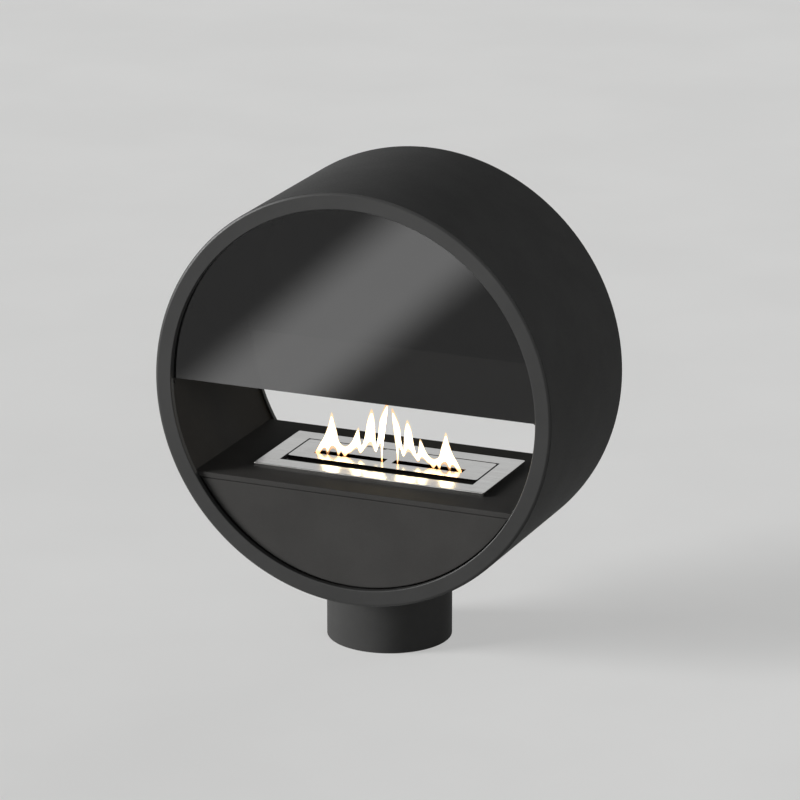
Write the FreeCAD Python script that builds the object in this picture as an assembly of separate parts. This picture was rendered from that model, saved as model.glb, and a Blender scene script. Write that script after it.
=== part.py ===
import FreeCAD, Part
import os
from math import asin, cos, degrees, radians, sin, sqrt
from FreeCAD import Vector

# Drum fireplace on a round pedestal, in millimetres.
# X is to the right, Y to the back and Z up; the floor is Z = 0 and the drum's axis lies along Y.

# Drum
DRUM_DIAMETER = 900.0
DRUM_DEPTH = 420.0
DRUM_CLEARANCE = 133.0     # floor to the drum's lowest line
SHELL_SHEET = 3.0
RIM_WIDTH = 36.0           # face of the flat rim ring
RIM_SHEET = 3.0
RIM_RETURN = 12.0          # depth of the rim's inner ring, face included
RIM_BEVEL = 5.0            # width of the sloping edge round the rim
LINER_STEP = 6.0           # liner lies this far outside the rim's inner edge
LINER_SHEET = 2.0
BLANKET_THICKNESS = 16.0   # insulation against the shell
BLANKET_HALF_ANGLE = 120.0

# Panes over the upper half
PANE_SHEET = 5.0
PANE_GASKET = 2.0
PANE_BOTTOM = 0.0          # lower edge above the drum's axis
CLIP_WIDTH = 24.0
CLIP_REACH = 20.0
CLIP_LENGTH = 26.0
CLIP_SHEET = 2.0
CLIP_ANGLES = (25.0, 65.0, 115.0, 155.0)
REST_WIDTH = 20.0
REST_DROP = 20.0
REST_REACH = 12.0

# Deck and lower panels
DECK_DROP = 202.0          # deck's top below the drum's axis
DECK_SHEET = 3.0
DECK_LIP = 11.0
DECK_BEND = 2.5            # rounding where the lips are folded
SEAM = 2.0                 # between the deck's lip and the panel below it
PANEL_SHEET = 2.0
PANEL_FLANGE = 14.0
PANEL_GAP = 1.5            # between a lower panel and the rim
RAIL_FLANGE = 30.0
RAIL_WEB = 25.0
RAIL_SHEET = 3.0
TAB_ANGLES = (-42.0, -15.0, 15.0, 42.0)   # from straight down
TAB_WIDTH = 30.0
TAB_REACH = 34.0
TAB_SHEET = 3.0
MAGNET_WIDTH = 26.0
MAGNET_HEIGHT = 18.0
MAGNET_EDGE = 2.0          # between a magnet and its tab's end
BOSS_KEY = 13.0            # across the flats of a six-sided boss

# Burner
TRAY_WIDTH = 530.0
TRAY_DEPTH = 238.0
TRAY_HEIGHT = 9.0          # turned-down edges that stand on the deck
TRAY_SHEET = 2.0
TRAY_CORNER = 4.0
TRAY_EDGE = 1.0            # bevel round the tray's top
TRAY_MARGIN = 42.5         # rim of the tray around its recess
LID_THICKNESS = 6.0
LID_CORNER = 7.0
LID_EDGE = 1.0             # bevel round the lid's top
LID_GAP = 3.0              # to the recess at the back and sides
LID_END_GAP = 1.5          # left in front when the lid is shut
SLOT_WIDTH = 23.5
SLOT_END = 47.5            # from a slot to the lid's end
SLOT_WEB = 18.0            # between the two slots
SHUT_OVERLAP = 5.5         # lid past the slot when shut
NOTCH_RADIUS = 6.0         # half-round notch for the tool in the lid's back edge
NOTCH_OFFSET = -43.0
GUIDE_HEIGHT = 2.5
PLATE_SHEET = 2.0
TANK_DEPTH = 75.0
TANK_SHEET = 2.0
PAD_HEIGHT = 45.0
PAD_GAP = 1.5
DECK_HOLE_GAP = 6.5        # between the tank and the deck's cut-out

# Pedestal
PEDESTAL_DIAMETER = 270.0
PEDESTAL_WALL = 4.0
SADDLE_SHEET = 6.0
BASE_SHEET = 8.0
ANCHOR_CIRCLE = 190.0
ANCHOR_HOLE = 12.0
ANCHOR_COUNT = 4
FOOT_PAD = 2.0
FOOT_PAD_WIDTH = 36.0
FOOT_PAD_CIRCLE = 220.0    # through the middles of the square pads
FOOT_PAD_COUNT = 4
BOLT_DIAMETER = 10.0
BOLT_HEAD = 7.0
BOLT_KEY = 16.0            # across the flats of head and nut
BOLT_NUT = 8.0
BOLT_TAIL = 3.0            # bolt end below the nut
SPACER_WIDTH = 24.0        # box section round a bolt
BOLT_X = 40.0
BOLT_Y = 90.0

# Small screws and clearances
SCREW_DIAMETER = 5.0
SCREW_KEY = 8.0            # across the flats of a screw's head
SCREW_HEAD = 3.0
FOOT_SCREW = 0.6           # a screw's place along the foot it holds
CURVE_GAP = 0.5            # between curved faces of two pieces
HOLE_GAP = 0.5             # round a screw or bolt
SCREW_HOLE = SCREW_DIAMETER + 2 * HOLE_GAP
BOLT_HOLE = BOLT_DIAMETER + 2 * HOLE_GAP
BOLT_FLATS = BOLT_DIAMETER * cos(radians(30))  # shank drawn as a hexagon inside its circle

DRUM_R = DRUM_DIAMETER / 2
AXIS_HEIGHT = DRUM_CLEARANCE + DRUM_R
RIM_R = DRUM_R - RIM_WIDTH
LINER_R = RIM_R + LINER_STEP
SHELL_IN_R = DRUM_R - SHELL_SHEET
FIT_R = LINER_R - CURVE_GAP             # largest radius of what sits inside the liner
FRONT = -DRUM_DEPTH / 2
WALL_FRONT = FRONT + RIM_SHEET
FACE = FRONT + RIM_RETURN + PANE_GASKET  # plane of panes, lips and lower panels
PANE_BACK = FACE + PANE_SHEET
DECK_TOP = AXIS_HEIGHT - DECK_DROP
PANEL_TOP = DECK_TOP - DECK_LIP - SEAM
TAB_FRONT = FACE + PANEL_FLANGE
TAB_CENTRE_R = LINER_R - TAB_REACH + MAGNET_HEIGHT / 2 + MAGNET_EDGE
TRAY_TOP = DECK_TOP + TRAY_HEIGHT
RECESS_WIDTH = TRAY_WIDTH - 2 * TRAY_MARGIN
RECESS_DEPTH = TRAY_DEPTH - 2 * TRAY_MARGIN
LID_BOTTOM = TRAY_TOP - LID_THICKNESS
LID_TRAVEL = SLOT_WIDTH + SHUT_OVERLAP
LID_WIDTH = RECESS_WIDTH - 2 * LID_GAP
LID_DEPTH = RECESS_DEPTH - LID_GAP - LID_TRAVEL - LID_END_GAP
LID_BACK = RECESS_DEPTH / 2 - LID_GAP
SLOT_LENGTH = (LID_WIDTH - SLOT_WEB) / 2 - SLOT_END
TANK_WIDTH = RECESS_WIDTH + 2 * TRAY_SHEET
TANK_LENGTH = RECESS_DEPTH + 2 * TRAY_SHEET
TANK_TOP = LID_BOTTOM - PLATE_SHEET
PEDESTAL_R = PEDESTAL_DIAMETER / 2
PEDESTAL_IN_R = PEDESTAL_R - PEDESTAL_WALL
SADDLE_R = DRUM_R + CURVE_GAP
BOLT_TURN = degrees(asin(BOLT_X / DRUM_R))

ALONG_Y = Vector(0, 1, 0)
UP = Vector(0, 0, 1)
AXIS_POINT = Vector(0, 0, AXIS_HEIGHT)


def box(x0, x1, y0, y1, z0, z1):
    """Block between two corners."""
    return Part.makeBox(x1 - x0, y1 - y0, z1 - z0, Vector(x0, y0, z0))


def centred_box(width, depth, z0, z1, x=0.0, y=0.0):
    """Block with the given width and depth, centred on x, y."""
    return box(x - width / 2, x + width / 2, y - depth / 2, y + depth / 2, z0, z1)


def upright(radius, z0, z1, x=0.0, y=0.0):
    """Vertical cylinder."""
    return Part.makeCylinder(radius, z1 - z0, Vector(x, y, z0), UP)


def drum_disc(radius, y0, y1):
    """Cylinder on the drum's axis."""
    return Part.makeCylinder(radius, y1 - y0, Vector(0, y0, AXIS_HEIGHT), ALONG_Y)


def drum_ring(inner, outer, y0, y1):
    """Tube on the drum's axis."""
    return drum_disc(outer, y0, y1).cut(drum_disc(inner, y0, y1))


def about_axis(shape, angle):
    """Copy turned about the drum's axis, clockwise as seen from the front."""
    turned = shape.copy()
    turned.rotate(AXIS_POINT, ALONG_Y, angle)
    return turned


def to_rear(shape):
    """Mirror image on the drum's other side."""
    return shape.mirror(Vector(0, 0, 0), ALONG_Y)


def to_left(shape):
    """Mirror image on the left."""
    return shape.mirror(Vector(0, 0, 0), Vector(1, 0, 0))


def rounded_slab(width, depth, corner, z0, z1, x=0.0, y=0.0):
    """Rectangular slab with rounded upright edges, centred on x, y."""
    block = centred_box(width, depth, z0, z1, x, y)
    uprights = [e for e in block.Edges if abs(e.tangentAt(e.FirstParameter).z) > 0.99]
    return block.makeFillet(corner, uprights)


def bevelled_top(slab, size):
    """Slab with a bevel round its top face."""
    top = slab.BoundBox.ZMax
    return slab.makeChamfer(size, [e for e in slab.Edges if e.BoundBox.ZMin > top - size / 2])


def turned_profile(points):
    """Ring made by turning a closed outline of (radius, y) points about the drum's axis."""
    corners = [Vector(radius, y, AXIS_HEIGHT) for radius, y in points]
    outline = Part.makePolygon(corners + corners[:1])
    return Part.Face(outline).revolve(AXIS_POINT, ALONG_Y, 360)


def square_rod(width, r0, r1, x=0.0, y=0.0):
    """Square bar that points up from the drum's axis, between two distances from it."""
    return centred_box(width, width, AXIS_HEIGHT + r0, AXIS_HEIGHT + r1, x, y)


def six_sided(across, z0, z1):
    """Upright hexagonal prism on the Z axis; it also stands for a threaded shank or bore."""
    corner = across / 2 / cos(radians(30))
    turns = [radians(60 * i) for i in range(7)]
    points = [Vector(corner * cos(turn), corner * sin(turn), z0) for turn in turns]
    return Part.Face(Part.makePolygon(points)).extrude(Vector(0, 0, z1 - z0))


def flat_seat(radius, width):
    """Distance from the axis at which a flat face of this width lies inside a round wall."""
    return sqrt(radius ** 2 - (width / 2) ** 2)


def clip_angle(angle):
    """Turn from straight up of a clip that is given counter-clockwise from the right."""
    return 90.0 - angle


def clip_screw_y():
    return PANE_BACK + CLIP_LENGTH * FOOT_SCREW


def rest_screw_drop():
    return REST_DROP * FOOT_SCREW


def rest_screw_y():
    return FACE + REST_WIDTH / 2


def bolt_places():
    """Turn from straight up and depth of each bolt between drum and pedestal."""
    return [(180.0 + side * BOLT_TURN, y) for side in (-1, 1) for y in (-BOLT_Y, BOLT_Y)]


def at_bolts(shape):
    """Copies of a shape drawn straight above the axis at Y = 0, one at each drum bolt."""
    copies = []
    for angle, y in bolt_places():
        copy = about_axis(shape, angle)
        copy.translate(Vector(0, y, 0))
        copies.append(copy)
    return Part.makeCompound(copies)


def bolt_holes():
    """Square cutters for the square-necked drum bolts."""
    return at_bolts(square_rod(BOLT_HOLE, DRUM_R / 2, DRUM_R * 2))


def outer_shell():
    return drum_ring(SHELL_IN_R, DRUM_R, WALL_FRONT, -WALL_FRONT).cut(bolt_holes())


def inner_liner():
    return drum_ring(LINER_R, LINER_R + LINER_SHEET, WALL_FRONT, -WALL_FRONT).cut(bolt_holes())


def front_rim():
    """Flat ring with a sloping outer edge; its inner ring closes up to the liner and seats the pane."""
    return turned_profile([
        (RIM_R, FRONT + RIM_RETURN),
        (RIM_R, FRONT),
        (DRUM_R - RIM_BEVEL, FRONT),
        (DRUM_R, WALL_FRONT),
        (FIT_R, WALL_FRONT),
        (FIT_R, FRONT + RIM_RETURN),
    ])


def wall_insulation():
    """Blanket against the shell, open at the bottom for the pedestal's bolts."""
    outer = SHELL_IN_R - CURVE_GAP
    ring = drum_ring(outer - BLANKET_THICKNESS, outer, WALL_FRONT, -WALL_FRONT)
    half_gap = 180.0 - BLANKET_HALF_ANGLE
    reach = 2 * DRUM_R
    middle = Vector(0, FRONT, AXIS_HEIGHT)
    left = Vector(-reach * sin(radians(half_gap)), FRONT, AXIS_HEIGHT - reach * cos(radians(half_gap)))
    right = Vector(-left.x, left.y, left.z)
    wedge = Part.Face(Part.makePolygon([middle, left, right, middle])).extrude(Vector(0, DRUM_DEPTH, 0))
    return ring.cut(wedge)


def front_pane():
    disc = drum_disc(FIT_R, FACE, PANE_BACK)
    return disc.cut(box(-DRUM_R, DRUM_R, FRONT, 0, 0, AXIS_HEIGHT + PANE_BOTTOM))


def front_gasket():
    """Half ring between the rim's inner ring and the pane."""
    ring = drum_ring(RIM_R, FIT_R, FRONT + RIM_RETURN, FACE)
    return ring.cut(box(-DRUM_R, DRUM_R, FRONT, 0, 0, AXIS_HEIGHT + PANE_BOTTOM))


def clip_top():
    """Outer face of a clip's flat foot, low enough to lie inside the round liner."""
    return flat_seat(FIT_R, CLIP_WIDTH)


def pane_clip():
    """Bent clip that holds the pane forward, drawn at the top of the drum."""
    top = AXIS_HEIGHT + clip_top()
    half = CLIP_WIDTH / 2
    foot = box(-half, half, PANE_BACK, PANE_BACK + CLIP_LENGTH, top - CLIP_SHEET, top)
    finger = box(-half, half, PANE_BACK, PANE_BACK + CLIP_SHEET, top - CLIP_REACH, top)
    slot = square_rod(SCREW_HOLE, 0, DRUM_R, 0, clip_screw_y())
    return foot.fuse(finger).removeSplitter().cut(slot)


def sheet_screw(sheet):
    """Screw with its head under a sheet whose lower face is at Z = 0."""
    head = six_sided(SCREW_KEY, -SCREW_HEAD, 0)
    return head.fuse(six_sided(SCREW_DIAMETER, 0, sheet)).removeSplitter()


def clip_screw():
    """Screw of the clip at the top of the drum."""
    screw = sheet_screw(CLIP_SHEET)
    screw.translate(Vector(0, clip_screw_y(), AXIS_HEIGHT + clip_top() - CLIP_SHEET))
    return screw


def rest_face():
    """Distance from the drum's middle to the outer face of a pane rest."""
    lowest = max(abs(PANE_BOTTOM), abs(PANE_BOTTOM - REST_DROP))
    return sqrt(FIT_R ** 2 - lowest ** 2)


def pane_rest():
    """Right-hand angle under the pane's lower corner."""
    outer = rest_face()
    top = AXIS_HEIGHT + PANE_BOTTOM
    half = SCREW_HOLE / 2
    middle = top - rest_screw_drop()
    leg = box(outer - CLIP_SHEET, outer, FACE, FACE + REST_WIDTH, top - REST_DROP, top)
    ledge = box(outer - REST_REACH, outer, FACE, FACE + REST_WIDTH, top - CLIP_SHEET, top)
    slot = box(0, DRUM_R, rest_screw_y() - half, rest_screw_y() + half, middle - half, middle + half)
    return leg.fuse(ledge).removeSplitter().cut(slot)


def rest_screw():
    """Screw of the right-hand pane rest."""
    screw = sheet_screw(CLIP_SHEET)
    screw.rotate(Vector(0, 0, 0), ALONG_Y, 90)
    height = AXIS_HEIGHT + PANE_BOTTOM - rest_screw_drop()
    screw.translate(Vector(rest_face() - CLIP_SHEET, rest_screw_y(), height))
    return screw


def both_ends(shapes):
    """The shapes and their mirror images at the rear."""
    return shapes + [to_rear(shape) for shape in shapes]


def pane_clips():
    return Part.makeCompound(both_ends([about_axis(pane_clip(), clip_angle(a)) for a in CLIP_ANGLES]))


def pane_rests():
    rest = pane_rest()
    return Part.makeCompound(both_ends([rest, to_left(rest)]))


def pane_screws():
    screws = [about_axis(clip_screw(), clip_angle(a)) for a in CLIP_ANGLES]
    screws += [rest_screw(), to_left(rest_screw())]
    return Part.makeCompound(both_ends(screws))


def hearth_deck():
    """Folded sheet with a lip front and back, ends cut to the liner, and the burner's cut-out."""
    block = box(-DRUM_R, DRUM_R, FACE, -FACE, DECK_TOP - DECK_LIP, DECK_TOP)
    top_edges = [e for e in block.Edges if e.BoundBox.ZMin > DECK_TOP - DECK_LIP / 2]
    block = block.makeFillet(DECK_BEND, [e for e in top_edges if e.BoundBox.XLength > DRUM_R])
    hollow = box(-DRUM_R, DRUM_R, FACE + DECK_SHEET, -FACE - DECK_SHEET, 0, DECK_TOP - DECK_SHEET)
    sheet = block.cut(hollow).common(drum_disc(FIT_R, FACE, -FACE))
    half_x = TANK_WIDTH / 2 + DECK_HOLE_GAP
    half_y = TANK_LENGTH / 2 + DECK_HOLE_GAP
    return sheet.cut(box(-half_x, half_x, -half_y, half_y, 0, DECK_TOP))


def deck_rail():
    """Right-hand angle rail under the deck's end, behind the lower panels' flanges."""
    top = DECK_TOP - DECK_SHEET
    front = TAB_FRONT + TAB_SHEET
    tip = sqrt(FIT_R ** 2 - (AXIS_HEIGHT - top) ** 2)
    inner = tip - RAIL_FLANGE
    flange = box(inner, DRUM_R, front, -front, top - RAIL_SHEET, top)
    web = box(inner, inner + RAIL_SHEET, front, -front, top - RAIL_WEB, top)
    return flange.fuse(web).removeSplitter().common(drum_disc(FIT_R, FACE, -FACE))


def lower_panel():
    """Pressed front panel: a segment of a disc with its edges turned back."""
    def segment(inset, y0):
        disc = drum_disc(RIM_R - PANEL_GAP - inset, y0, TAB_FRONT)
        return disc.cut(box(-DRUM_R, DRUM_R, FRONT, 0, PANEL_TOP - inset, 2 * AXIS_HEIGHT))
    return segment(0, FACE).cut(segment(PANEL_SHEET, FACE + PANEL_SHEET))


def at_tabs(shape):
    """Copies of a shape drawn straight below the axis, one at each tab."""
    return [about_axis(shape, angle) for angle in TAB_ANGLES]


def tab_block(width, height, y0, y1):
    """Block at the middle of the tab straight below the axis."""
    middle = AXIS_HEIGHT - TAB_CENTRE_R
    return box(-width / 2, width / 2, y0, y1, middle - height / 2, middle + height / 2)


def tab_prism(across, y0, y1):
    """Six-sided bar along Y at the middle of the tab straight below the axis."""
    bar = six_sided(across, 0, y1 - y0)
    bar.rotate(Vector(0, 0, 0), Vector(1, 0, 0), -90)
    bar.translate(Vector(0, y0, AXIS_HEIGHT - TAB_CENTRE_R))
    return bar


def panel_tabs():
    """Tabs on the liner behind the lower panels; the rear ones have screw slots."""
    half = TAB_WIDTH / 2
    low = AXIS_HEIGHT - LINER_R
    plate = box(-half, half, TAB_FRONT, TAB_FRONT + TAB_SHEET, low, low + TAB_REACH)
    plate = plate.common(drum_disc(FIT_R, FRONT, 0))
    slot = tab_block(SCREW_HOLE, SCREW_HOLE, FRONT, 0)
    return Part.makeCompound(at_tabs(plate) + [to_rear(tab) for tab in at_tabs(plate.cut(slot))])


def panel_magnets():
    magnet = tab_block(MAGNET_WIDTH, MAGNET_HEIGHT, FACE + PANEL_SHEET, TAB_FRONT)
    return Part.makeCompound(at_tabs(magnet))


def rear_panel_bosses():
    """Six-sided bosses on the back of the rear panel."""
    boss = tab_prism(BOSS_KEY, FACE + PANEL_SHEET, TAB_FRONT)
    return Part.makeCompound([to_rear(shape) for shape in at_tabs(boss)])


def rear_panel_screws():
    seat = TAB_FRONT + TAB_SHEET
    shank = tab_prism(SCREW_DIAMETER, TAB_FRONT, seat)
    screw = tab_prism(SCREW_KEY, seat, seat + SCREW_HEAD).fuse(shank).removeSplitter()
    return Part.makeCompound([to_rear(shape) for shape in at_tabs(screw)])


def burner_tray():
    """Folded tray: top sheet, turned-down edges on the deck and a walled recess for the lid."""
    slab = rounded_slab(TRAY_WIDTH, TRAY_DEPTH, TRAY_CORNER, DECK_TOP, TRAY_TOP)
    outer = bevelled_top(slab, TRAY_EDGE)
    fold = 2 * TRAY_SHEET
    under = centred_box(TRAY_WIDTH - fold, TRAY_DEPTH - fold, DECK_TOP, TRAY_TOP - TRAY_SHEET)
    wall = centred_box(TANK_WIDTH, TANK_LENGTH, LID_BOTTOM, TRAY_TOP)
    recess = centred_box(RECESS_WIDTH, RECESS_DEPTH, DECK_TOP, TRAY_TOP)
    return outer.cut(under).fuse(wall).removeSplitter().cut(recess)


def flame_slots(z0, z1):
    """Cutters for the two slots."""
    offset = (SLOT_LENGTH + SLOT_WEB) / 2
    slots = [centred_box(SLOT_LENGTH, SLOT_WIDTH, z0, z1, side * offset) for side in (-1, 1)]
    return Part.makeCompound(slots)


def burner_plate():
    """Slotted top of the tank that the lid slides on."""
    plate = centred_box(TANK_WIDTH, TANK_LENGTH, TANK_TOP, LID_BOTTOM)
    return plate.cut(flame_slots(TANK_TOP, LID_BOTTOM))


def slide_lid():
    """Slotted lid, shown open: its slots lie over those of the plate."""
    centre = LID_BACK - LID_DEPTH / 2
    slab = rounded_slab(LID_WIDTH, LID_DEPTH, LID_CORNER, LID_BOTTOM, TRAY_TOP, 0, centre)
    lid = bevelled_top(slab, LID_EDGE)
    notch = upright(NOTCH_RADIUS, LID_BOTTOM, TRAY_TOP, NOTCH_OFFSET, LID_BACK)
    return lid.cut(flame_slots(LID_BOTTOM, TRAY_TOP)).cut(notch)


def lid_guides():
    """Strips beside the lid that keep it straight."""
    outer = RECESS_WIDTH / 2
    inner = LID_WIDTH / 2 + CURVE_GAP
    half = RECESS_DEPTH / 2
    guide = box(inner, outer, -half, half, LID_BOTTOM, LID_BOTTOM + GUIDE_HEIGHT)
    return Part.makeCompound([guide, to_left(guide)])


def fuel_tank():
    bottom = TANK_TOP - TANK_DEPTH
    walls = 2 * TANK_SHEET
    outer = centred_box(TANK_WIDTH, TANK_LENGTH, bottom, TANK_TOP)
    return outer.cut(centred_box(TANK_WIDTH - walls, TANK_LENGTH - walls, bottom + TANK_SHEET, TANK_TOP))


def fibre_pad():
    """Ceramic fibre block that soaks up the fuel."""
    floor = TANK_TOP - TANK_DEPTH + TANK_SHEET
    inset = 2 * (TANK_SHEET + PAD_GAP)
    return centred_box(TANK_WIDTH - inset, TANK_LENGTH - inset, floor, floor + PAD_HEIGHT)


def pedestal_tube():
    """Round tube with its top cut to the drum's curve."""
    tube = upright(PEDESTAL_R, FOOT_PAD, AXIS_HEIGHT).cut(upright(PEDESTAL_IN_R, FOOT_PAD, AXIS_HEIGHT))
    return tube.cut(drum_disc(SADDLE_R, FRONT, -FRONT))


def saddle_flange():
    """Curved flange in the tube's top that the drum is bolted to."""
    ring = drum_ring(SADDLE_R, SADDLE_R + SADDLE_SHEET, FRONT, -FRONT)
    plug = upright(PEDESTAL_IN_R - CURVE_GAP, 0, AXIS_HEIGHT - SADDLE_R / 2)
    return ring.common(plug).cut(bolt_holes())


def nut_seat():
    """Distance from the axis at which a flat nut lies clear of the saddle flange."""
    return SADDLE_R + SADDLE_SHEET + CURVE_GAP


def drum_bolts():
    """Bolts with their heads inside the liner and their ends in the pedestal."""
    corner = BOLT_KEY / cos(radians(30))
    seat = AXIS_HEIGHT + flat_seat(FIT_R, corner)
    end = AXIS_HEIGHT + nut_seat() + BOLT_NUT + BOLT_TAIL
    bolt = six_sided(BOLT_KEY, seat - BOLT_HEAD, seat).fuse(six_sided(BOLT_FLATS, seat, end))
    return at_bolts(bolt.removeSplitter())


def wall_spacers():
    """Pieces of box section between liner and shell, round the drum bolts."""
    inner = LINER_R + LINER_SHEET + CURVE_GAP
    outer = flat_seat(SHELL_IN_R - CURVE_GAP, SPACER_WIDTH)
    return at_bolts(square_rod(SPACER_WIDTH, inner, outer).cut(square_rod(BOLT_HOLE, inner, outer)))


def weld_nuts():
    seat = AXIS_HEIGHT + nut_seat()
    nut = six_sided(BOLT_KEY, seat, seat + BOLT_NUT)
    return at_bolts(nut.cut(six_sided(BOLT_HOLE, seat, seat + BOLT_NUT)))


def base_plate():
    """Disc in the tube's foot, drilled for floor anchors."""
    disc = upright(PEDESTAL_IN_R - CURVE_GAP, FOOT_PAD, FOOT_PAD + BASE_SHEET)
    for i in range(ANCHOR_COUNT):
        turn = radians(360.0 * (i + 0.5) / ANCHOR_COUNT)
        x = ANCHOR_CIRCLE / 2 * cos(turn)
        y = ANCHOR_CIRCLE / 2 * sin(turn)
        disc = disc.cut(upright(ANCHOR_HOLE / 2, 0, FOOT_PAD + BASE_SHEET, x, y))
    return disc


def floor_pads():
    """Square pads under the base plate, between its anchor holes."""
    pads = []
    for i in range(FOOT_PAD_COUNT):
        pad = centred_box(FOOT_PAD_WIDTH, FOOT_PAD_WIDTH, 0, FOOT_PAD, FOOT_PAD_CIRCLE / 2)
        pad.rotate(Vector(0, 0, 0), UP, 360.0 * i / FOOT_PAD_COUNT)
        pads.append(pad)
    return Part.makeCompound(pads)


def export_all():
    """Writes one file for each piece."""
    rail = deck_rail()
    pieces = {
        "outer_shell": outer_shell(),
        "inner_liner": inner_liner(),
        "front_rim": front_rim(),
        "rear_rim": to_rear(front_rim()),
        "wall_insulation": wall_insulation(),
        "front_pane": front_pane(),
        "rear_pane": to_rear(front_pane()),
        "front_pane_gasket": front_gasket(),
        "rear_pane_gasket": to_rear(front_gasket()),
        "pane_clips": pane_clips(),
        "pane_rests": pane_rests(),
        "pane_screws": pane_screws(),
        "hearth_deck": hearth_deck(),
        "right_deck_rail": rail,
        "left_deck_rail": to_left(rail),
        "lower_front_panel": lower_panel(),
        "lower_rear_panel": to_rear(lower_panel()),
        "panel_tabs": panel_tabs(),
        "panel_magnets": panel_magnets(),
        "rear_panel_bosses": rear_panel_bosses(),
        "rear_panel_screws": rear_panel_screws(),
        "burner_tray": burner_tray(),
        "burner_plate": burner_plate(),
        "slide_lid": slide_lid(),
        "lid_guides": lid_guides(),
        "fuel_tank": fuel_tank(),
        "fibre_pad": fibre_pad(),
        "pedestal_tube": pedestal_tube(),
        "saddle_flange": saddle_flange(),
        "drum_bolts": drum_bolts(),
        "wall_spacers": wall_spacers(),
        "weld_nuts": weld_nuts(),
        "base_plate": base_plate(),
        "floor_pads": floor_pads(),
    }
    os.makedirs("parts", exist_ok=True)
    for name, shape in pieces.items():
        shape.exportStep("parts/" + name + ".step")


export_all()
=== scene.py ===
import math

import bpy
import numpy as np
from bpy.props import FloatProperty, FloatVectorProperty, PointerProperty
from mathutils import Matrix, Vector


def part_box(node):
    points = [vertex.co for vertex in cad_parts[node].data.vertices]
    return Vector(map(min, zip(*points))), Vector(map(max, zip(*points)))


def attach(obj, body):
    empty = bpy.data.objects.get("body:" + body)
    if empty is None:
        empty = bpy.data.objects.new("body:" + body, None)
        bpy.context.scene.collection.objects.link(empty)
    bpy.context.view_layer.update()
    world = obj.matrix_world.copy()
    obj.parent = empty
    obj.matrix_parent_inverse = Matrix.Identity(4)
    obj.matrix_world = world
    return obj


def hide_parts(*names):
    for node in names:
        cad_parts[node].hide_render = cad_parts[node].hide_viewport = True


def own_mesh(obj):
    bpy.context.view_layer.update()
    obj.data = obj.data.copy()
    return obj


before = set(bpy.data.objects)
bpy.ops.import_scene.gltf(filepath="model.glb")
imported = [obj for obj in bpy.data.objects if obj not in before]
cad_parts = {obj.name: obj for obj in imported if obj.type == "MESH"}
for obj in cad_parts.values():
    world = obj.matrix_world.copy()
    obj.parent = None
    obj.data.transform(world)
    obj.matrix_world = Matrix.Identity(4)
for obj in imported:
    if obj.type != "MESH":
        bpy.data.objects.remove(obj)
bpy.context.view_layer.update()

bl_info = {
    "name": "Drum Fireplace",
    "version": (1, 0, 0),
    "blender": (4, 5, 0),
    "location": "3D View > Sidebar > Drum Fireplace",
    "description": "Builds the painted drum, its hearth, burner and flames round the packed part",
    "category": "Object",
}


def box_of(node):
    """Low and high corner of a CAD node's box."""
    return tuple(np.array(corner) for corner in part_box(node))


SHELL_HIGH = box_of("outer_shell")[1]
LINER_HIGH = box_of("inner_liner")[1]
RIM_LOW, RIM_HIGH = box_of("front_rim")
TUBE_LOW, TUBE_HIGH = box_of("pedestal_tube")
PANEL_LOW, PANEL_HIGH = box_of("lower_front_panel")
TRAY_LOW, TRAY_HIGH = box_of("burner_tray")
LID_LOW, LID_HIGH = box_of("slide_lid")

MM = 0.001
DRUM_R = SHELL_HIGH[0]
AXIS_Z = SHELL_HIGH[2] - RIM_HIGH[0]    # height of the drum's axis: its top less the rim's radius
ROUND_STEPS = 288                       # points round the drum
TUBE_STEPS = 192                        # points round the pedestal
FOLD_STEPS = 7                          # points over a folded edge
SHEET_EDGE = 0.0004                     # rounding of a cut sheet's edge
SOOT_AND_SHADE = (0.030, 0.028, 0.026)            # colour of steel blackened in the fire, also used as painted shade in the tray's recess and on the lid's sides
SHADE_REACH = 0.001                      # how far the painted shade covers the edge of the tray's recess
MIX_A, MIX_B, MIX_COLOUR = 6, 7, 2      # colour sockets of a Mix node

CAMERA_LENS = 211.66
CAMERA_AZIMUTH = math.radians(23.06)
CAMERA_HEIGHT = math.radians(17.62)
CAMERA_DISTANCE = 10.0
CAMERA_TARGET = (0.0243, 0.0, 0.5301)
FLOOR_HALF = 30.0                       # half the width of the studio floor


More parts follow.
